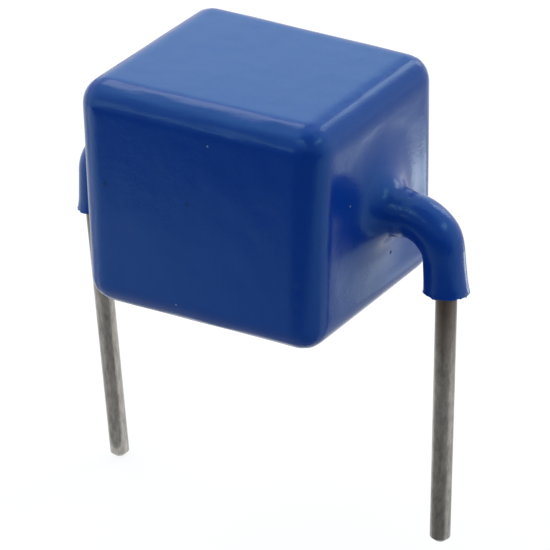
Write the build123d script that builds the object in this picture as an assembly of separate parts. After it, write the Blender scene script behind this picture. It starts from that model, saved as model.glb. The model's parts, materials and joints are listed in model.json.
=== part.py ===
from build123d import *
import os

# A high-surge transient voltage suppressor diode for through-hole mounting.
# Silicon dies and copper spacers are soldered into one stack between two
# nail-head lead wires. Silicone buffers the stack, and a dipped epoxy coating
# covers it and creeps out along both leads, past their bends.
#
# Millimetres. X runs along the stack, with the left lead at -X and the right
# lead at +X. The front is at -Y and Z is up. The origin is the centre of the
# coating's underside, which faces the circuit board.

# Stack
die_count = 8
die_side = 10.6
die_thickness = 0.3
die_bevel = 0.08            # ground rim on both faces of a die
spacer_thickness = 0.8
end_plate_thickness = 1.0
copper_inset = 0.3          # spacers and end plates stop short of a die's edge
copper_corner = 0.6         # clipped off each corner of the copper
solder_thickness = 0.08
solder_inset = 0.1          # solder stops short of the copper's edge

# Lead wires
wire_diameter = 1.27
head_diameter = 3.4         # nail head that is soldered to the end plate
head_thickness = 0.5
bend_radius = 2.45          # at the middle of the wire
bend_standoff = 2.0         # straight wire between the coating's end face and the bend
kink_gap = 0.3              # from the sleeve's rim to where the lead starts to lean in
toe_in_left = 1.65          # degrees that each lead leans in towards the other one
toe_in_right = 1.1
bare_length_left = 17.84    # of straight bare wire, from the kink to the tip
bare_length_right = 16.85
tip_bevel = 0.28            # on the cut tip

# Silicone buffer
buffer_wall = 0.35
buffer_bevel = 0.5

# Epoxy coating
side_wall = 1.515           # over the buffer, at the front and the back
under_wall = 1.415
over_wall = 1.615
end_wall = 1.68
edge_radius = 1.68
root_radius = 4.6           # where the swelling around a lead starts on the end face
root_depth = 0.15           # how deep the swelling's edge is let into the end face
root_bands = 3              # cone bands that the swelling is made of

# Sleeve that the epoxy forms on each lead. It gathers on the inside of the
# bend, and is even again at its torn rim.
sleeve_wall_left = 0.42
sleeve_wall_right = 0.63
sleeve_sag_left = 0.18      # how far its middle lies inside the wire's, round the bend
sleeve_sag_right = 0.15
sleeve_run_left = 2.61      # how far it goes on below the bend
sleeve_run_right = 2.04
rim_wall_left = 0.47
rim_wall_right = 0.70

# How far each dipped face is out of square, in mm per mm: its turn is about
# the vertical, its lean is over the height, seen from the middle of the body.
front_turn = 0.036
front_lean = 0.049
back_turn = -0.019
back_lean = -0.035
left_turn = -0.021
left_lean = -0.015
right_turn = 0.010
right_lean = 0.027
top_fall = -0.026           # along X
top_rise = 0.047            # along Y

# Worked out from the values above
thickness = {
    "head_solder": solder_thickness,
    "solder": solder_thickness,
    "end_plate": end_plate_thickness,
    "die": die_thickness,
    "spacer": spacer_thickness,
}
copper_side = die_side - 2 * copper_inset
solder_side = copper_side - 2 * solder_inset
wire_radius = wire_diameter / 2


def stack_layers():
    # Names and kinds of the stack's layers, from the left head to the right one
    layers = [("solder_head_left", "head_solder"), ("end_plate_left", "end_plate")]
    for number in range(1, die_count + 1):
        layers.append((f"solder_{2 * number - 1:02d}", "solder"))
        layers.append((f"silicon_die_{number}", "die"))
        layers.append((f"solder_{2 * number:02d}", "solder"))
        if number < die_count:
            layers.append((f"copper_spacer_{number}", "spacer"))
    layers.append(("end_plate_right", "end_plate"))
    layers.append(("solder_head_right", "head_solder"))
    return layers


stack_half = sum(thickness[kind] for name, kind in stack_layers()) / 2
head_x = stack_half + head_thickness
buffer_half_length = head_x + buffer_wall
buffer_side = die_side + 2 * buffer_wall
body_length = 2 * (buffer_half_length + end_wall)
body_depth = buffer_side + 2 * side_wall
body_height = buffer_side + under_wall + over_wall
axis_height = under_wall + buffer_side / 2
bend_x = body_length / 2 + bend_standoff


def copper_plate(depth):
    return extrude(chamfer(Rectangle(copper_side, copper_side).vertices(), copper_corner), depth)


def die_plate():
    # A die has square corners and a ground bevel around each face
    plate = extrude(Rectangle(die_side, die_side), die_thickness)
    rims = plate.faces().filter_by(Axis.Z).edges()
    return chamfer(rims, die_bevel)


def stack_pieces():
    # Every layer as its own solid, drawn flat, stood across the stack's axis
    # and set face to face with the next
    shapes = {
        "head_solder": extrude(Circle(head_diameter / 2), solder_thickness),
        "solder": extrude(Rectangle(solder_side, solder_side), solder_thickness),
        "end_plate": copper_plate(end_plate_thickness),
        "die": die_plate(),
        "spacer": copper_plate(spacer_thickness),
    }
    pieces = {}
    x = -stack_half
    for name, kind in stack_layers():
        pieces[name] = Pos(x, 0, axis_height) * (Plane.YZ * shapes[kind])
        x += thickness[kind]
    return pieces


def tube_along(route, radius):
    end = Plane(route @ 0, z_dir=route % 0) * Circle(radius)
    return sweep(end, path=route, transition=Transition.RIGHT)


def lead_wire(sleeve_run, toe_in, bare_length):
    # The wire of a right-hand lead, with its nail head and its bevelled tip
    out = Line((stack_half, axis_height), (bend_x, axis_height))
    bend = JernArc(out @ 1, out % 1, bend_radius, -90)
    down = Line(bend @ 1, bend @ 1 + (bend % 1) * (sleeve_run + kink_gap))
    bare = PolarLine(down @ 1, bare_length, -90 - toe_in)
    wire = tube_along(Plane.XZ * (out + bend + down + bare), wire_radius)
    tip = wire.edges().filter_by(GeomType.CIRCLE).sort_by(Axis.Z)[0]
    wire = chamfer(tip, tip_bevel)
    head = Plane.YZ * extrude(Circle(head_diameter / 2), head_thickness)
    return wire + Pos(stack_half, 0, axis_height) * head


def buffer_block():
    block = Pos(0, 0, axis_height) * Box(2 * buffer_half_length, buffer_side, buffer_side)
    return chamfer(block.edges(), buffer_bevel)


def face_planes():
    # The six faces of the dipped body, each with its normal pointing outwards
    middle = Vector(0, 0, body_height / 2)
    return [
        Plane(middle - (body_length / 2, 0, 0), z_dir=(-1, left_turn, left_lean)),
        Plane(middle + (body_length / 2, 0, 0), z_dir=(1, -right_turn, -right_lean)),
        Plane(middle - (0, body_depth / 2, 0), z_dir=(front_turn, -1, front_lean)),
        Plane(middle + (0, body_depth / 2, 0), z_dir=(-back_turn, 1, -back_lean)),
        Plane(middle + (0, 0, body_height / 2), z_dir=(-top_fall, -top_rise, 1)),
        Plane(middle - (0, 0, body_height / 2), z_dir=(0, 0, -1)),
    ]


def dipped_block():
    # A block with slightly leaning faces and soft edges
    block = Pos(0, 0, body_height / 2) * Box(2 * body_length, 2 * body_depth, 2 * body_height)
    for plane in face_planes():
        block = split(block, bisect_by=plane, keep=Keep.BOTTOM)
    return fillet(block.edges(), edge_radius)


def lead_root(radius, drop):
    # The coating swells smoothly from the right end face up to the sleeve
    inner = body_length / 2 - root_depth
    step = (radius + root_radius) / 2
    curve = Bezier(
        (inner, root_radius),
        (inner + root_depth, step),
        (inner + root_depth, radius),
        (bend_x, radius),
    )
    swell = Polyline(*[curve @ (band / root_bands) for band in range(root_bands + 1)])
    outline = Polyline((bend_x, radius), (bend_x, 0), (inner, 0), (inner, root_radius))
    profile = make_face(Plane.XZ * (swell + outline))
    return Pos(0, 0, axis_height - drop) * revolve(profile, Axis.X)


def lead_sleeve(wall, drop, run, rim_wall):
    # Coating on a right-hand lead, round the bend and down to its torn rim.
    # Its middle lies a drop below the wire's, and round the bend inside it.
    radius = wire_radius + wall
    out = Line((body_length / 2, axis_height - drop), (bend_x, axis_height - drop))
    bend = JernArc(out @ 1, out % 1, bend_radius - drop, -90)
    route = Plane.XZ * (out + bend)
    bend_end = Plane(route @ 1, z_dir=route % 1)
    rim_middle = (bend_x + bend_radius, 0, axis_height - bend_radius - run)
    rim = Plane(rim_middle, z_dir=route % 1)
    skirt = loft([bend_end * Circle(radius), rim * Circle(wire_radius + rim_wall)])
    return lead_root(radius, drop) + tube_along(route, radius) + skirt


def on_left(piece):
    # Each lead is drawn on the right; the left one is turned over to its side
    return mirror(piece, about=Plane.YZ)


def build():
    wire_left = on_left(lead_wire(sleeve_run_left, toe_in_left, bare_length_left))
    wire_right = lead_wire(sleeve_run_right, toe_in_right, bare_length_right)
    sleeve_left = on_left(
        lead_sleeve(sleeve_wall_left, sleeve_sag_left, sleeve_run_left, rim_wall_left)
    )
    sleeve_right = lead_sleeve(
        sleeve_wall_right, sleeve_sag_right, sleeve_run_right, rim_wall_right
    )
    stack = stack_pieces()
    coating = dipped_block() + sleeve_left + sleeve_right
    coating = coating - buffer_block() - wire_left - wire_right
    junction = buffer_block() - wire_left - wire_right
    for piece in stack.values():
        junction = junction - piece
    return {
        "epoxy_coating": coating,
        "junction_coating": junction,
        "lead_wire_left": wire_left,
        "lead_wire_right": wire_right,
        **stack,
    }


os.makedirs("parts", exist_ok=True)
for name, piece in build().items():
    export_step(piece, f"parts/{name}.step")
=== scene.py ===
import json
import math
import bmesh
import bpy
import numpy as np
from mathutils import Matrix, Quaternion, Vector, noise


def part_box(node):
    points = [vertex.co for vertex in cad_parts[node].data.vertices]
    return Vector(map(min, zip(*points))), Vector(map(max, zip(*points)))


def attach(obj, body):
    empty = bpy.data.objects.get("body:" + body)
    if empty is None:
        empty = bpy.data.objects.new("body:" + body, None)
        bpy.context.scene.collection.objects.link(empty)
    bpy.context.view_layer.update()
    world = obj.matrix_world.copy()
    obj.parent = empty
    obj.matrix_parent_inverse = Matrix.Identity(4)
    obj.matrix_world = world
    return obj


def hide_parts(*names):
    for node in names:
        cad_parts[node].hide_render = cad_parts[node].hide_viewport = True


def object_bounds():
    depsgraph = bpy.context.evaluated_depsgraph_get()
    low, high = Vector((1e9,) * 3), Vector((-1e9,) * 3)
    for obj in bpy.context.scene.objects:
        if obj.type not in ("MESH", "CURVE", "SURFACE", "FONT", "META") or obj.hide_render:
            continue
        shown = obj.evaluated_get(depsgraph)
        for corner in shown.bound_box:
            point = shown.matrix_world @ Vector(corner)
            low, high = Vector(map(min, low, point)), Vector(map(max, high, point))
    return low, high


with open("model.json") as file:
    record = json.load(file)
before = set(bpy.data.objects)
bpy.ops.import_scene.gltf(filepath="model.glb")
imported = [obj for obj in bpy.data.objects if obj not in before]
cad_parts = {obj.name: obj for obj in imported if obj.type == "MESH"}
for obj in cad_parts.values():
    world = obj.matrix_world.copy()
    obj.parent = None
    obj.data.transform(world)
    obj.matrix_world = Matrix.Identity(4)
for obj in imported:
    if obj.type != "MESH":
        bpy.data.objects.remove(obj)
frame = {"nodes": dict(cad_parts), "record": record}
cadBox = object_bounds()
mm = 0.001
nodes = frame["nodes"]
print("frame loaded,", len(nodes), "nodes")


def newMaterial(name):
    material = bpy.data.materials.new(name)
    material.use_nodes = True
    tree = material.node_tree
    shader = tree.nodes["Principled BSDF"]
    return material, tree, shader


def addNode(tree, kind, **settings):
    node = tree.nodes.new("ShaderNode" + kind)
    for key, value in settings.items():
        setattr(node, key, value)
    return node


def objectSpace(tree, stretch=(1, 1, 1)):
    # part coordinates in millimetres, stretched along an axis for streaks
    place = addNode(tree, "TexCoord")
    scale = addNode(tree, "Mapping")
    scale.inputs["Scale"].default_value = [1000 * s for s in stretch]
    tree.links.new(place.outputs["Object"], scale.inputs["Vector"])
    return scale.outputs["Vector"]


def objectAxes(tree):
    # part coordinates in metres, one by one
    place = addNode(tree, "TexCoord")
    split = addNode(tree, "SeparateXYZ")
    tree.links.new(place.outputs["Object"], split.inputs["Vector"])
    return split.outputs


def noiseAt(tree, vector, size, detail=3, roughness=0.55):
    # size is the width of a typical blotch in millimetres
    cloud = addNode(tree, "TexNoise")
    cloud.inputs["Scale"].default_value = 1 / size
    cloud.inputs["Detail"].default_value = detail
    cloud.inputs["Roughness"].default_value = roughness
    tree.links.new(vector, cloud.inputs["Vector"])
    return cloud.outputs["Fac"]


def ramp(tree, factor, *stops):
    # stops are (position, colour) pairs
    band = addNode(tree, "ValToRGB")
    elements = band.color_ramp.elements
    while len(elements) < len(stops):
        elements.new(0.5)
    for element, (position, colour) in zip(elements, stops):
        element.position = position
        element.color = (*colour, 1)
    tree.links.new(factor, band.inputs["Fac"])
    return band.outputs["Color"]


def rescaled(tree, value, low, high):
    # 0 at low, 1 at high
    node = addNode(tree, "MapRange")
    node.inputs["From Min"].default_value = low
    node.inputs["From Max"].default_value = high
    tree.links.new(value, node.inputs["Value"])
    return node.outputs["Result"]


def calculate(tree, operation, first, second=None):
    # the first value is a socket, the second a socket or a number
    node = addNode(tree, "Math", operation=operation)
    tree.links.new(first, node.inputs[0])
    if isinstance(second, bpy.types.NodeSocket):
        tree.links.new(second, node.inputs[1])
    elif second is not None:
        node.inputs[1].default_value = second
    return node.outputs["Value"]


def grey(value):
    return (value, value, value)


def dotAt(tree, place, spot, size):
    # 1 inside a small ball, 0 outside it
    away = addNode(tree, "VectorMath", operation="DISTANCE")
    away.inputs[1].default_value = spot
    tree.links.new(place, away.inputs[0])
    return rescaled(tree, away.outputs["Value"], size, size / 2)


def bump(tree, shader, height, strength, distance):
    # a second call lays its bumps over those of the first
    node = addNode(tree, "Bump")
    node.inputs["Strength"].default_value = strength
    node.inputs["Distance"].default_value = distance
    tree.links.new(height, node.inputs["Height"])
    for link in shader.inputs["Normal"].links:
        tree.links.new(link.from_socket, node.inputs["Normal"])
    tree.links.new(node.outputs["Normal"], shader.inputs["Normal"])


def mixColour(tree, factor, first, second):
    # the second colour is a fixed one
    node = addNode(tree, "Mix", data_type="RGBA")
    tree.links.new(factor, node.inputs["Factor"])
    tree.links.new(first, node.inputs[6])
    node.inputs[7].default_value = (*second, 1)
    return node.outputs[2]


epoxyLook = {
    "colour": (0.0035, 0.046, 0.36),
    "paleColour": (0.0045, 0.053, 0.39),
    "blotch": 3.0,               # width in millimetres of a paler patch
    "roughness": 0.205,
    "tint": (0.40, 1, 1, 1),     # of its reflections, which hold little red
    "peel": 1.6,                 # width in millimetres of the surface's slow unevenness
    "peelDepth": 0.025 * mm,
    "grain": 0.14,
    "grainDepth": 0.007 * mm,
    # a pinhole, specks of dust and painted glints: place and size in millimetres, colour
    # the pinhole's dark colour is painted shade inside a hole that the mesh doesn't have
    "pinhole": ((8.21, 1.34, 3.49), 0.14, (0.004, 0.015, 0.07)),
    "dustAndGlints": [
        ((-5.90, -7.30, 8.23), 0.24, (0.004, 0.037, 0.25)),
        ((-0.26, -7.11, 8.12), 0.22, (0.004, 0.037, 0.25)),
        # the light ones are painted glints, highlights painted into the colour
        ((1.19, -6.87, 11.97), 0.07, (0.30, 0.40, 0.60)),
        ((8.35, -3.34, 8.45), 0.07, (0.30, 0.40, 0.60)),
        ((-1.21, -7.45, 1.56), 0.08, (0.25, 0.35, 0.55)),
    ],
}


def epoxyFinish():
    material, tree, shader = newMaterial("epoxy")
    place = objectSpace(tree)
    blotch = noiseAt(tree, place, epoxyLook["blotch"], 7, 0.75)
    colour = ramp(tree, blotch, (0.3, epoxyLook["colour"]), (0.7, epoxyLook["paleColour"]))
    # dark specks of dust, and light specks that are painted glints
    for spot, size, shade in epoxyLook["dustAndGlints"]:
        colour = mixColour(tree, dotAt(tree, place, spot, size), colour, shade)
    # painted shade: the pinhole's dark colour stands in for the shade inside it
    spot, size, shade = epoxyLook["pinhole"]
    hole = dotAt(tree, place, spot, size)
    colour = mixColour(tree, hole, colour, shade)
    gloss = ramp(tree, hole, (0, grey(epoxyLook["roughness"])), (1, grey(1)))     # the hole is matt
    tree.links.new(colour, shader.inputs["Base Color"])
    tree.links.new(gloss, shader.inputs["Roughness"])
    shader.inputs["IOR"].default_value = 1.5
    shader.inputs["Specular Tint"].default_value = epoxyLook["tint"]
    bump(tree, shader, noiseAt(tree, place, epoxyLook["peel"], 4, 0.35), 1, epoxyLook["peelDepth"])
    bump(tree, shader, noiseAt(tree, place, epoxyLook["grain"], 1), 1, epoxyLook["grainDepth"])
    return material


wireLook = {
    "dark": (0.27, 0.255, 0.235),
    "light": (0.50, 0.475, 0.44),
    "streak": 0.3,               # width in millimetres
    "drawn": (1, 1, 0.3),        # the streaks run along the wire
    # painted shade: the dark colour a wire takes under its sleeve
    "sleeveShade": (0.13, 0.10, 0.08),
    "shadedHeights": (-3.5 * mm, 2.6 * mm),    # heights between which painted shade darkens a wire under its sleeve
    "roughness": 0.32,
    "pit": 0.15,
    "pitDepth": 0.03 * mm,
    "pitDrawn": (1, 1, 0.5),
}


def wireFinish():
    material, tree, shader = newMaterial("tinned_wire")
    streak = noiseAt(tree, objectSpace(tree, wireLook["drawn"]), wireLook["streak"], 6, 0.75)
    colour = ramp(tree, streak, (0.35, wireLook["dark"]), (0.65, wireLook["light"]))
    # painted shade, darker towards the sleeve
    underSleeve = rescaled(tree, objectAxes(tree)["Z"], *wireLook["shadedHeights"])
    colour = mixColour(tree, underSleeve, colour, wireLook["sleeveShade"])
    tree.links.new(colour, shader.inputs["Base Color"])
    shader.inputs["Metallic"].default_value = 1
    shader.inputs["Roughness"].default_value = wireLook["roughness"]
    pits = noiseAt(tree, objectSpace(tree, wireLook["pitDrawn"]), wireLook["pit"])
    bump(tree, shader, pits, 0.35, wireLook["pitDepth"])
    return material


innerLook = {
    # what the coating hides: darker and lighter colour, width in millimetres of a blotch,
    # half of the noise's range that blends the colours, and roughness
    "copper": ((0.55, 0.24, 0.14), (0.80, 0.42, 0.28), 0.8, 0.15, 0.35),
    "solder": ((0.38, 0.39, 0.40), (0.55, 0.56, 0.58), 0.8, 0.15, 0.45),
    "silicon": ((0.03, 0.033, 0.04), (0.06, 0.065, 0.08), 0.5, 0.1, 0.25),
    "silicone": ((0.62, 0.62, 0.56), (0.70, 0.70, 0.64), 1.5, 0.1, 0.45),
}


def innerFinish(name):
    material, tree, shader = newMaterial(name)
    dark, light, blotch, blend, roughness = innerLook[name]
    place = objectSpace(tree)
    colour = ramp(tree, noiseAt(tree, place, blotch), (0.5 - blend, dark), (0.5 + blend, light))
    tree.links.new(colour, shader.inputs["Base Color"])
    shader.inputs["Roughness"].default_value = roughness
    return material, tree, shader, place


def metalFinish(name):
    material, tree, shader, place = innerFinish(name)
    shader.inputs["Metallic"].default_value = 1
    bump(tree, shader, noiseAt(tree, place, 0.1), 0.15, 0.02 * mm)
    return material


def siliconFinish():
    return innerFinish("silicon")[0]


def siliconeFinish():
    material, tree, shader, place = innerFinish("silicone")
    bump(tree, shader, noiseAt(tree, place, 0.6), 0.1, 0.05 * mm)
    return material


def paint(name, material):
    piece = nodes[name]
    if not piece.material_slots:
        piece.data.materials.append(material)
    piece.material_slots[0].link = "OBJECT"
    piece.material_slots[0].material = material


finishes = {
    "epoxy": epoxyFinish(),
    "tinned_wire": wireFinish(),
    "copper": metalFinish("copper"),
    "silicon": siliconFinish(),
    "solder": metalFinish("solder"),
    "silicone": siliconeFinish(),
}
for entry in frame["record"]["subparts"]:
    paint(entry["node"], finishes[entry["material_slot"]])
print("finishes on", len(nodes), "nodes")


skin = {
    "voxel": 0.165 * mm,
    "evening": 4,                # passes of smoothing over the whole
    "flatness": 0.5,             # degrees up to which the hollow's small faces are joined
    "hollowSpare": 0.1 * mm,     # how far from the hollow's box a face still lines it
    "finerStart": 8.0 * mm,      # the roots and the sleeves have smaller faces from here out
    "finerReach": 3.4 * mm,
    "finerEvening": 4,
    "neck": 9.2 * mm,            # beyond here there is only the sleeve
    "wave": 0.03 * mm,           # how uneven the dipped faces are
    "waveLength": 5 * mm,
    "streak": (3.0 * mm, 0.5 * mm, 0.5 * mm),    # size of a flow line
    "streakDepth": 0.06 * mm,
    "streakSlopes": (0.01, 0.08),    # slopes off a flat face where flow lines start and are full
    "streakTurn": 0.4,           # no flow lines where the surface turns further to an end face
    "streaksEnd": 8.0 * mm,
    "streaksFade": 1.2 * mm,
    "spare": 0.02 * mm,          # kept free inside the solids' box
    "root": {
        # the swelling of an end face around its lead
        "from": 8 * mm,          # distance from the middle of the part where an end face starts
        "facing": 0.998,         # how squarely a point of the flat end face looks outwards
        "under": 0.3 * mm,       # how far under the end face a point still belongs to it
        "reach": 5.2 * mm,       # where the swelling runs out on the end face
        "spread": 2.9 * mm,
        "pull": 0.30 * mm,
        "pullAbove": 0.60 * mm,
        "end": 2.0 * mm,         # height above the end face where the sleeve's bend starts
        "fade": 0.9 * mm,
    },
    "bend": {
        "start": 10.25 * mm,
        "radius": 2.45 * mm,
        "bulge": 0.20 * mm,      # extra coating on the outside of the bend
        "bulgeStart": 8.55 * mm,
        "bulgeStartFade": 0.8 * mm,
        "bulgeEnd": 85,          # degrees round the bend
        "bulgeEndFade": 35,
    },
    "rim": {
        "from": 11 * mm,         # distance from the middle of the part where a sleeve hangs down
        "bore": 0.8 * mm,        # points nearer to the wire's middle belong to the sleeve's bore
        "corner": 0.25 * mm,
        "tearReach": 0.9 * mm,   # how far above its torn rim a sleeve is still drawn out of true
        "ragged": 0.35 * mm,     # width of the rim's small teeth
        "raggedDepth": 0.03 * mm,
    },
    "sleeves": {
        # wall round the bend, sag inside the wire's bend, how far the rim flares and over what
        # height, and the rim's dents: direction in degrees from the right, half-width, lift
        "left": {
            "side": -1,
            "wall": 0.42 * mm,
            "sag": 0.18 * mm,
            "flare": (0.09 * mm, 1.0 * mm),
            "dents": [(200, 40, 0.12 * mm), (300, 35, 0.10 * mm)],
        },
        "right": {
            "side": 1,
            "wall": 0.63 * mm,
            "sag": 0.15 * mm,
            "flare": (0.06 * mm, 1.3 * mm),
            "dents": [(285, 55, 0.14 * mm), (238, 14, 0.10 * mm), (330, 20, 0.06 * mm)],
        },
    },
}
root, bend, rim = skin["root"], skin["bend"], skin["rim"]
wireRadius = 0.635 * mm
wireLine = bend["start"] + bend["radius"]      # where the wires stand, below their bends
outside = 0.8                                  # share of a sleeve's radius that leaves out its bore
axisHeight = (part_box("solder_head_right")[0].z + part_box("solder_head_right")[1].z) / 2


def readPoints(mesh):
    points = np.empty(len(mesh.vertices) * 3)
    mesh.vertices.foreach_get("co", points)
    return points.reshape(-1, 3)


def readNormals(mesh):
    normals = np.empty(len(mesh.vertices) * 3)
    mesh.vertex_normals.foreach_get("vector", normals)
    return normals.reshape(-1, 3)


def writePoints(mesh, points):
    mesh.vertices.foreach_set("co", points.ravel())
    mesh.update()


def voxelCopy(source):
    # a fresh even mesh of a CAD piece, in the CAD piece's place
    piece = bpy.data.objects.new("epoxy_skin", source.data.copy())
    bpy.context.collection.objects.link(piece)
    remesh = piece.modifiers.new("remesh", "REMESH")
    remesh.mode = "VOXEL"
    remesh.voxel_size = skin["voxel"]
    smooth = piece.modifiers.new("smooth", "SMOOTH")
    smooth.iterations = skin["evening"]
    finished = piece.evaluated_get(bpy.context.evaluated_depsgraph_get())
    shape = bpy.data.meshes.new_from_object(finished)
    piece.modifiers.clear()
    piece.data = shape
    return piece


def ofTagged(parts):
    # the edges or points of tagged faces, in the mesh's order, so that each run gives one mesh
    return [part for part in parts if any(face.tag for face in part.link_faces)]


def plainInside(mesh):
    # nobody sees the walls of the hollow, so their flat stretches need few faces
    low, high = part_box("junction_coating")
    spare = skin["hollowSpare"]
    shape = bmesh.new()
    shape.from_mesh(mesh)
    for face in shape.faces:
        middle = face.calc_center_median()
        face.tag = all(low[i] - spare < middle[i] < high[i] + spare for i in range(3))
    bmesh.ops.dissolve_limit(
        shape, angle_limit=math.radians(skin["flatness"]),
        verts=ofTagged(shape.verts), edges=ofTagged(shape.edges),
    )
    bmesh.ops.triangulate(shape, faces=[face for face in shape.faces if len(face.verts) > 4])
    shape.to_mesh(mesh)
    shape.free()


def finerRoots(mesh):
    # the swellings curve tightly and the leads are thin, so both get smaller faces
    shape = bmesh.new()
    shape.from_mesh(mesh)
    for face in shape.faces:
        x, y, z = face.calc_center_median()
        close = abs(x) > skin["neck"] or math.hypot(y, z - axisHeight) < skin["finerReach"]
        face.tag = abs(x) > skin["finerStart"] and close
    bmesh.ops.subdivide_edges(shape, edges=ofTagged(shape.edges), cuts=1, use_grid_fill=True)
    finer = [vert for vert in shape.verts if abs(vert.co.x) > skin["finerStart"]]
    for turn in range(skin["finerEvening"]):
        bmesh.ops.smooth_vert(
            shape, verts=finer, factor=0.5, use_axis_x=True, use_axis_y=True, use_axis_z=True
        )
    shape.to_mesh(mesh)
    shape.free()


def endFace(points, normals, side):
    # the plane x = a + b y + c z that fits an end face of the block
    across = np.hypot(points[:, 1], points[:, 2] - axisHeight)
    flat = (normals[:, 0] * side > root["facing"]) & (across > root["reach"])
    flat &= points[:, 0] * side > root["from"]
    table = np.c_[np.ones(flat.sum()), points[flat, 1:]]
    return np.linalg.lstsq(table, points[flat, 0], rcond=None)[0]


def bezier(corners, steps=300):
    t = np.linspace(0, 1, steps)[:, None]
    p0, p1, p2, p3 = (np.array(corner) for corner in corners)
    return (1 - t) ** 3 * p0 + 3 * t * (1 - t) ** 2 * p1 + 3 * t**2 * (1 - t) * p2 + t**3 * p3


def easeIn(value):
    value = np.clip(value, 0, 1)
    return value * value * (3 - 2 * value)


def rootCurve(radius, pull):
    # the swelling's profile, seen from a ring that stands off in the air: angle and distance
    reach, end = root["reach"], root["end"]
    curve = bezier(((0, reach), (0, root["spread"]), (pull, radius), (end, radius)))
    inwards, down = reach - curve[:, 1], end - curve[:, 0]
    return np.arctan2(inwards, down), np.hypot(inwards, down)


def swellRoot(points, normals, sleeve):
    # moves the surface round a lead onto one smooth swelling of the end face, which is
    # fuller above the lead than under it: each point slides along the ring's line of sight
    side, sag, radius = sleeve["side"], sleeve["sag"], wireRadius + sleeve["wall"]
    reach, end = root["reach"], root["end"]
    a, b, c = endFace(points, normals, side)
    height = side * (points[:, 0] - a - b * points[:, 1] - c * points[:, 2])
    up = points[:, 2] - axisHeight + sag
    across = np.hypot(points[:, 1], up)
    near = (height > -root["under"]) & (height < end) & (points[:, 0] * side > root["from"])
    near &= (across > outside * radius) & (across < reach)
    angle = np.arctan2(reach - across[near], end - height[near])
    under = np.interp(angle, *rootCurve(radius, root["pull"]))
    above = np.interp(angle, *rootCurve(radius + bend["bulge"], root["pullAbove"]))
    upper = (1 + up[near] / across[near]) / 2
    distance = under + (above - under) * upper
    fade = easeIn((end - height[near]) / root["fade"])
    move = (end - distance * np.cos(angle) - height[near]) * fade
    grow = 1 + ((reach - distance * np.sin(angle)) / across[near] - 1) * fade
    points[near, 0] += side * move
    points[near, 1] *= grow
    points[near, 2] = axisHeight - sag + up[near] * grow


def fillBend(points, sleeve):
    # the coating lies thicker on the outside of the bend and above the lead's root
    side, radius, ring = sleeve["side"], wireRadius + sleeve["wall"], bend["radius"] - sleeve["sag"]
    out = points[:, 0] * side - bend["start"]
    up = points[:, 2] - (axisHeight - bend["radius"])
    past = np.maximum(out, 0)
    middleX, middleZ = past / np.hypot(past, up) * ring, up / np.hypot(past, up) * ring
    offX = np.where(out > 0, out - middleX, 0)
    offZ = np.where(out > 0, up - middleZ, up - ring)
    off = np.sqrt(offX**2 + points[:, 1] ** 2 + offZ**2)
    outwards = np.where(out > 0, (offX * middleX + offZ * middleZ) / ring, offZ) / off
    onSleeve = (off > outside * radius) & (up > 0)
    fadeIn = easeIn((points[:, 0] * side - bend["bulgeStart"]) / bend["bulgeStartFade"])
    turn = np.degrees(np.arctan2(past, up))
    fadeOut = easeIn((bend["bulgeEnd"] - turn) / bend["bulgeEndFade"])
    push = bend["bulge"] * (1 + outwards) / 2 * fadeIn * fadeOut * onSleeve
    points[:, 0] += side * offX / off * push
    points[:, 1] += points[:, 1] / off * push
    points[:, 2] += offZ / off * push


def squareRim(points, sleeve):
    # draws out the rim's outer corner, which the even mesh has rounded off, and flares it a little
    side, (flare, flareHeight) = sleeve["side"], sleeve["flare"]
    corner, middle = rim["corner"], side * wireLine
    offX, offY = points[:, 0] - middle, points[:, 1]
    radius = np.hypot(offX, offY)
    onSleeve = (points[:, 0] * side > rim["from"]) & (radius > rim["bore"])
    height = points[:, 2] - points[onSleeve, 2].min()
    outer = radius[onSleeve & (height > corner) & (height < 2 * corner)].max()
    across, under = (radius - outer) / corner + 1, 1 - height / corner
    rounded = onSleeve & (across > 0) & (under > 0)
    stretch = np.ones(len(points))
    stretch[rounded] = np.hypot(across, under)[rounded] / np.maximum(across, under)[rounded]
    points[rounded, 2] += corner * (under * (1 - stretch))[rounded]
    fade = np.clip(1 - height / flareHeight, 0, 1) ** 2
    wider = radius + np.where(rounded, corner * across * (stretch - 1), 0) + flare * fade
    points[onSleeve, 0] = middle + (offX / radius * wider)[onSleeve]
    points[onSleeve, 1] = (offY / radius * wider)[onSleeve]
    low, high = cadBox[0].x + skin["spare"], cadBox[1].x - skin["spare"]
    points[onSleeve, 0] = np.clip(points[onSleeve, 0], low, high)


def tearRim(points, sleeve):
    # dents the rim of a sleeve, less and less above it
    side = sleeve["side"]
    onSleeve = points[:, 0] * side > rim["from"]
    rimHeight = points[onSleeve, 2].min()
    turn = np.degrees(np.arctan2(points[:, 1], points[:, 0] - side * wireLine)) % 360
    fade = np.clip(1 - (points[:, 2] - rimHeight) / rim["tearReach"], 0, 1) ** 2 * onSleeve
    for facing, width, lift in sleeve["dents"]:
        off = np.abs((turn - facing + 180) % 360 - 180) / width
        points[:, 2] += fade * lift * np.exp(-off**2)
    torn = fade > 0
    ragged = np.array([noise.noise(Vector(p) / rim["ragged"]) for p in points[torn]])
    points[torn, 2] += fade[torn] * rim["raggedDepth"] * (ragged + 0.3)


def waver(points, normals):
    # the slow unevenness of a dipped surface, always inwards
    wave = np.array([noise.noise(Vector(p) / skin["waveLength"]) for p in points])
    return points - normals * (skin["wave"] * (0.5 + 0.5 * wave))[:, None]


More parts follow.
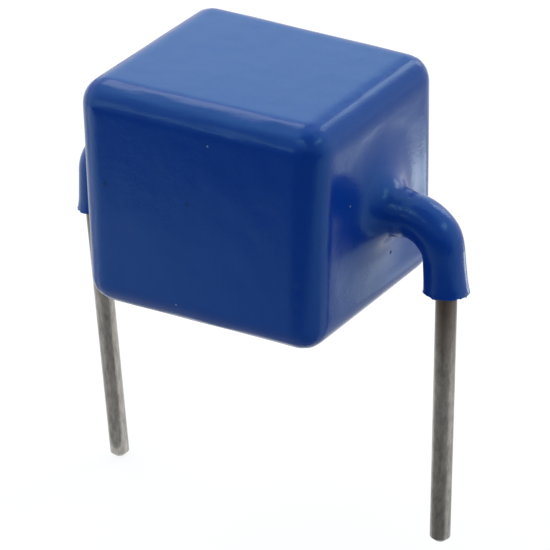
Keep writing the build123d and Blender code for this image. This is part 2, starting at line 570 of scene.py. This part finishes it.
def streakEdges(points, normals):
    # fine flow lines along the front and back edges, where the coating has run, always inwards
    steep = 1 - np.abs(normals).max(axis=1)
    start, full = skin["streakSlopes"]
    onEdge = (steep > start) & (np.abs(normals[:, 0]) < skin["streakTurn"])
    onEdge &= np.abs(points[:, 0]) < skin["streaksEnd"]
    toEnd = skin["streaksEnd"] - np.abs(points[onEdge, 0])
    depth = np.clip(steep[onEdge] / full, 0, 1) * easeIn(toEnd / skin["streaksFade"])
    flow = np.array([noise.noise(Vector(p)) for p in points[onEdge] / skin["streak"]])
    points[onEdge] -= normals[onEdge] * (skin["streakDepth"] * depth * (0.5 + 0.5 * flow))[:, None]


def makeSkin():
    piece = voxelCopy(nodes["epoxy_coating"])
    mesh = piece.data
    plainInside(mesh)
    finerRoots(mesh)
    points, normals = readPoints(mesh), readNormals(mesh)
    for name, sleeve in skin["sleeves"].items():
        if name == "right":
            fillBend(points, sleeve)      # the left one is even all round
        swellRoot(points, normals, sleeve)
        squareRim(points, sleeve)
        tearRim(points, sleeve)
    points = waver(points, normals)
    streakEdges(points, normals)
    writePoints(mesh, points)
    mesh.shade_smooth()
    mesh.materials.clear()
    mesh.materials.append(finishes["epoxy"])
    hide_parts("epoxy_coating")
    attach(piece, "root")
    return piece


epoxySkin = makeSkin()
print("coating made,", len(epoxySkin.data.polygons), "faces")


def makeSheet(name, corners, faces, material):
    mesh = bpy.data.meshes.new(name)
    mesh.from_pydata(corners, [], faces)
    mesh.materials.append(material)
    sheet = bpy.data.objects.new(name, mesh)
    bpy.context.collection.objects.link(sheet)
    return sheet


def makeOblong(name, left, right, front, back, height, material):
    corners = [(left, front, height), (right, front, height), (right, back, height), (left, back, height)]
    return makeSheet(name, corners, [(0, 1, 2, 3)], material)


def direction(azimuth, elevation):
    # azimuth in degrees from straight in front, towards the right
    a, e = math.radians(azimuth), math.radians(elevation)
    return Vector((math.sin(a) * math.cos(e), -math.cos(a) * math.cos(e), math.sin(e)))


studio = {
    "floorHalf": 1000 * mm,
    "floorColour": (0.5, 0.5, 0.5),
    "paper": 0.2,                # how much of the floor's white answers to light and shadow
    "glow": 0.87,
    "room": (0.70, 0.81, 0.86),
}


def isSeen(tree):
    # 1 for what the camera sees, either directly or mirrored in the wires and the coating
    path = addNode(tree, "LightPath")
    seen = path.outputs["Is Camera Ray"]
    for ray in ("Is Glossy Ray", "Is Transmission Ray"):
        seen = calculate(tree, "MAXIMUM", seen, path.outputs[ray])
    return seen


def floorFinish():
    # white paper that keeps the object's shadow; stray light meets plain pale paint
    material, tree, shader = newMaterial("floor")
    shader.inputs["Base Color"].default_value = (*studio["floorColour"], 1)
    shader.inputs["Roughness"].default_value = 0.9
    shader.inputs["Specular IOR Level"].default_value = 0
    paper = addNode(tree, "BsdfDiffuse")
    paper.inputs["Color"].default_value = (*grey(studio["paper"]), 1)
    glow = addNode(tree, "Emission")
    glow.inputs["Strength"].default_value = studio["glow"]
    white = addNode(tree, "AddShader")
    tree.links.new(paper.outputs[0], white.inputs[0])
    tree.links.new(glow.outputs[0], white.inputs[1])
    pick = addNode(tree, "MixShader")
    tree.links.new(isSeen(tree), pick.inputs["Fac"])
    tree.links.new(shader.outputs[0], pick.inputs[1])
    tree.links.new(white.outputs[0], pick.inputs[2])
    tree.links.new(pick.outputs[0], tree.nodes["Material Output"].inputs["Surface"])
    return material


def makeFloor():
    half = studio["floorHalf"]
    makeOblong("floor", -half, half, -half, half, cadBox[0].z, floorFinish())


clothAndFloorShade = {
    # dark cloth on the camera's side of the room, which the coating's front mirrors, and sheets of
    # painted shade on the floor, which only reflections see; the camera itself looks past them
    "colour": (0.09, 0.09, 0.09),
    "height": 0.5 * mm,          # of the painted shade sheets on the floor
    "back": -1 * mm,             # how far back the front one reaches
    "start": 47 * mm,            # where it begins to be dense, and is dense
    "dense": 54 * mm,
    "turn": 0.30,
    # its density otherwise, by the distance from the middle in millimetres
    "sideways": [(-54, 0), (-30, 0.35), (-9.6, 0.62), (14.4, 0.8), (36, 0.6), (60, 0.4)],
    "behind": 0.25,              # density of the painted shade behind the right lead
    "behindFrom": 5 * mm,
    "distance": 450 * mm,        # of the curtain, which thins out towards its sides and its top
    "columns": 40,
    "rows": 20,
    "hem": -2,                   # degrees
    # density of the curtain, by degrees from straight in front and by degrees up
    "across": [
        (-60, 0), (-48, 0.1), (-38, 0.5), (-25, 0.9), (-12, 1),
        (50, 1), (68, 0.8), (88, 0.5), (100, 0.2), (115, 0),
    ],
    "upwards": [(0, 1), (11, 0.97), (18, 0.75), (40, 0.68), (62, 0.74), (76, 0.7), (88, 0.4)],
}


def clothAndShadeFinish(name):
    material, tree, shader = newMaterial(name)
    shader.inputs["Base Color"].default_value = (*clothAndFloorShade["colour"], 1)
    shader.inputs["Roughness"].default_value = 1
    shader.inputs["Specular IOR Level"].default_value = 0
    return material, tree, shader


def densityRamp(tree, value, unit, stops):
    low, high = stops[0][0], stops[-1][0]
    shade = rescaled(tree, value, low * unit, high * unit)
    return ramp(tree, shade, *[((at - low) / (high - low), grey(density)) for at, density in stops])


def floorShadeFinish():
    # painted shade of the floor, seen only in reflections: thin on the left, where the pale floor shows
    # through, and denser to the right
    material, tree, shader = clothAndShadeFinish("floor_shade_sheet")
    axes = objectAxes(tree)
    turned = calculate(tree, "MULTIPLY", axes["X"], clothAndFloorShade["turn"])
    forward = calculate(tree, "SUBTRACT", turned, axes["Y"])
    edge = rescaled(tree, forward, clothAndFloorShade["start"], clothAndFloorShade["dense"])
    density = densityRamp(tree, axes["X"], mm, clothAndFloorShade["sideways"])
    tree.links.new(calculate(tree, "MAXIMUM", edge, density), shader.inputs["Alpha"])
    return material


# painted shade that dims the floor behind the right lead, seen only in reflections
def backShadeFinish():
    material, tree, shader = clothAndShadeFinish("back_shade_sheet")
    shader.inputs["Alpha"].default_value = clothAndFloorShade["behind"]
    return material


def curtainFinish():
    material, tree, shader = clothAndShadeFinish("curtain")
    axes = objectAxes(tree)
    azimuth = calculate(tree, "ARCTAN2", axes["X"], calculate(tree, "MULTIPLY", axes["Y"], -1))
    elevation = calculate(tree, "ARCSINE", calculate(tree, "DIVIDE", axes["Z"], clothAndFloorShade["distance"]))
    across = densityRamp(tree, azimuth, math.radians(1), clothAndFloorShade["across"])
    upwards = densityRamp(tree, elevation, math.radians(1), clothAndFloorShade["upwards"])
    tree.links.new(calculate(tree, "MULTIPLY", across, upwards), shader.inputs["Alpha"])
    return material


def makeCurtain():
    columns, rows = clothAndFloorShade["columns"], clothAndFloorShade["rows"]
    first, last = clothAndFloorShade["across"][0][0], clothAndFloorShade["across"][-1][0]
    hem, top = clothAndFloorShade["hem"], clothAndFloorShade["upwards"][-1][0]
    corners = [
        direction(first + (last - first) * i / columns, hem + (top - hem) * j / rows) * clothAndFloorShade["distance"]
        for j in range(rows + 1) for i in range(columns + 1)
    ]
    faces = [
        (k, k + 1, k + columns + 2, k + columns + 1)
        for k in range(rows * (columns + 1)) if k % (columns + 1) < columns
    ]
    return makeSheet("curtain", corners, faces, curtainFinish())


def makeCloths():
    height, far, back = cadBox[0].z + clothAndFloorShade["height"], clothAndFloorShade["distance"], clothAndFloorShade["back"]
    floorShadeSheet = makeOblong("floor_shade_sheet", -far, far, -far, back, height, floorShadeFinish())
    backShadeSheet = makeOblong("back_shade_sheet", clothAndFloorShade["behindFrom"], far, back, far, height, backShadeFinish())
    # the floor sheets are painted shade, which only reflections in the coating and the wires see
    for sheet in (floorShadeSheet, backShadeSheet):
        sheet.visible_diffuse = False
    for sheet in (floorShadeSheet, backShadeSheet, makeCurtain()):
        sheet.visible_camera = False
        sheet.visible_shadow = False


softboxes = {
    # azimuth from straight in front, elevation, distance, width, height, brightness, red share
    "back_right_softbox": (167, 29, 0.4, 0.11, 0.19, 1.9, 1.1),
    "back_right_bar": (170, 43, 0.4, 0.09, 0.05, 2.2, 1.2),
    "back_left_softbox": (-117, 57, 0.4, 0.16, 0.10, 2.1, 1.5),
    "back_left_panel": (-150, 31, 0.4, 0.38, 0.20, 0.42, 0.2),
    "right_bar": (92, 43, 0.4, 0.20, 0.04, 2.6, 1.1),
    "front_left_softbox": (-58, 59, 0.4, 0.26, 0.10, 0.45, 0.8),
    "front_left_strip": (-28, 16, 0.4, 0.16, 0.05, 1.0, 1.2),
    "front_bar_upper": (-13, 50, 0.4, 0.11, 0.018, 4.2, 1.1),
    "front_bar_lower": (-13, 43, 0.4, 0.13, 0.018, 3.5, 1.1),
    "front_window": (11, 36, 0.4, 0.035, 0.05, 1.6, 1.2),
}


def makeLamp(name, width, height, brightness, red, shape="RECTANGLE"):
    lamp = bpy.data.lights.new(name, "AREA")
    lamp.shape = shape
    lamp.size = width
    lamp.size_y = height
    lamp.energy = brightness * math.pi * width * height
    lamp.color = (red, 1, 1.05)
    box = bpy.data.objects.new(name, lamp)
    bpy.context.collection.objects.link(box)
    return box


def makeSoftbox(name, azimuth, elevation, distance, width, height, brightness, red):
    box = makeLamp(name, width, height, brightness, red)
    towards = direction(azimuth, elevation)
    box.location = towards * distance
    box.rotation_mode = "QUATERNION"
    box.rotation_quaternion = towards.to_track_quat("Z", "Y")


glints = {
    # small lights on the floor behind the right lead: place, size and brightness
    "floor_glint": (27 * mm, 47 * mm, 14 * mm, 3.1),
    "near_glint": (21 * mm, 27 * mm, 9 * mm, 0.9),
}


def makeGlint(name, x, y, size, brightness):
    spot = makeLamp(name, size, size, brightness * math.pi / 4, 1, "DISK")
    spot.location = (x, y, cadBox[0].z + 1 * mm)
    spot.rotation_euler = (math.pi, 0, 0)      # shines upwards


def makeRoom():
    world = bpy.data.worlds.new("room")
    bpy.context.scene.world = world
    world.use_nodes = True
    tree = world.node_tree
    room = tree.nodes["Background"]
    room.inputs["Color"].default_value = (*studio["room"], 1)
    seen = addNode(tree, "Background")
    seen.inputs["Color"].default_value = (1, 1, 1, 1)
    pick = addNode(tree, "MixShader")
    tree.links.new(isSeen(tree), pick.inputs["Fac"])
    tree.links.new(room.outputs[0], pick.inputs[1])
    tree.links.new(seen.outputs[0], pick.inputs[2])
    tree.links.new(pick.outputs[0], tree.nodes["World Output"].inputs["Surface"])


viewpoint = {
    "azimuth": 33.744,
    "elevation": 27.215,
    "roll": -1.935,
    "distance": 130 * mm,
    "lens": 139.87,
    "sensor": 36,
    "target": (0.8535 * mm, 0, 0.7105 * mm),
}


def makeCamera():
    back = direction(viewpoint["azimuth"], viewpoint["elevation"])
    camera = bpy.data.objects.new("camera", bpy.data.cameras.new("camera"))
    bpy.context.collection.objects.link(camera)
    camera.data.lens = viewpoint["lens"]
    camera.data.sensor_width = viewpoint["sensor"]
    camera.data.clip_start = 10 * mm
    camera.location = Vector(viewpoint["target"]) + back * viewpoint["distance"]
    camera.rotation_mode = "QUATERNION"
    turn = Quaternion((0, 0, 1), math.radians(viewpoint["roll"]))
    camera.rotation_quaternion = back.to_track_quat("Z", "Y") @ turn
    bpy.context.scene.camera = camera


makeFloor()
makeCloths()
makeRoom()
for name, values in softboxes.items():
    makeSoftbox(name, *values)
for name, values in glints.items():
    makeGlint(name, *values)
makeCamera()
bpy.context.scene.view_settings.view_transform = "Standard"
print("studio made")
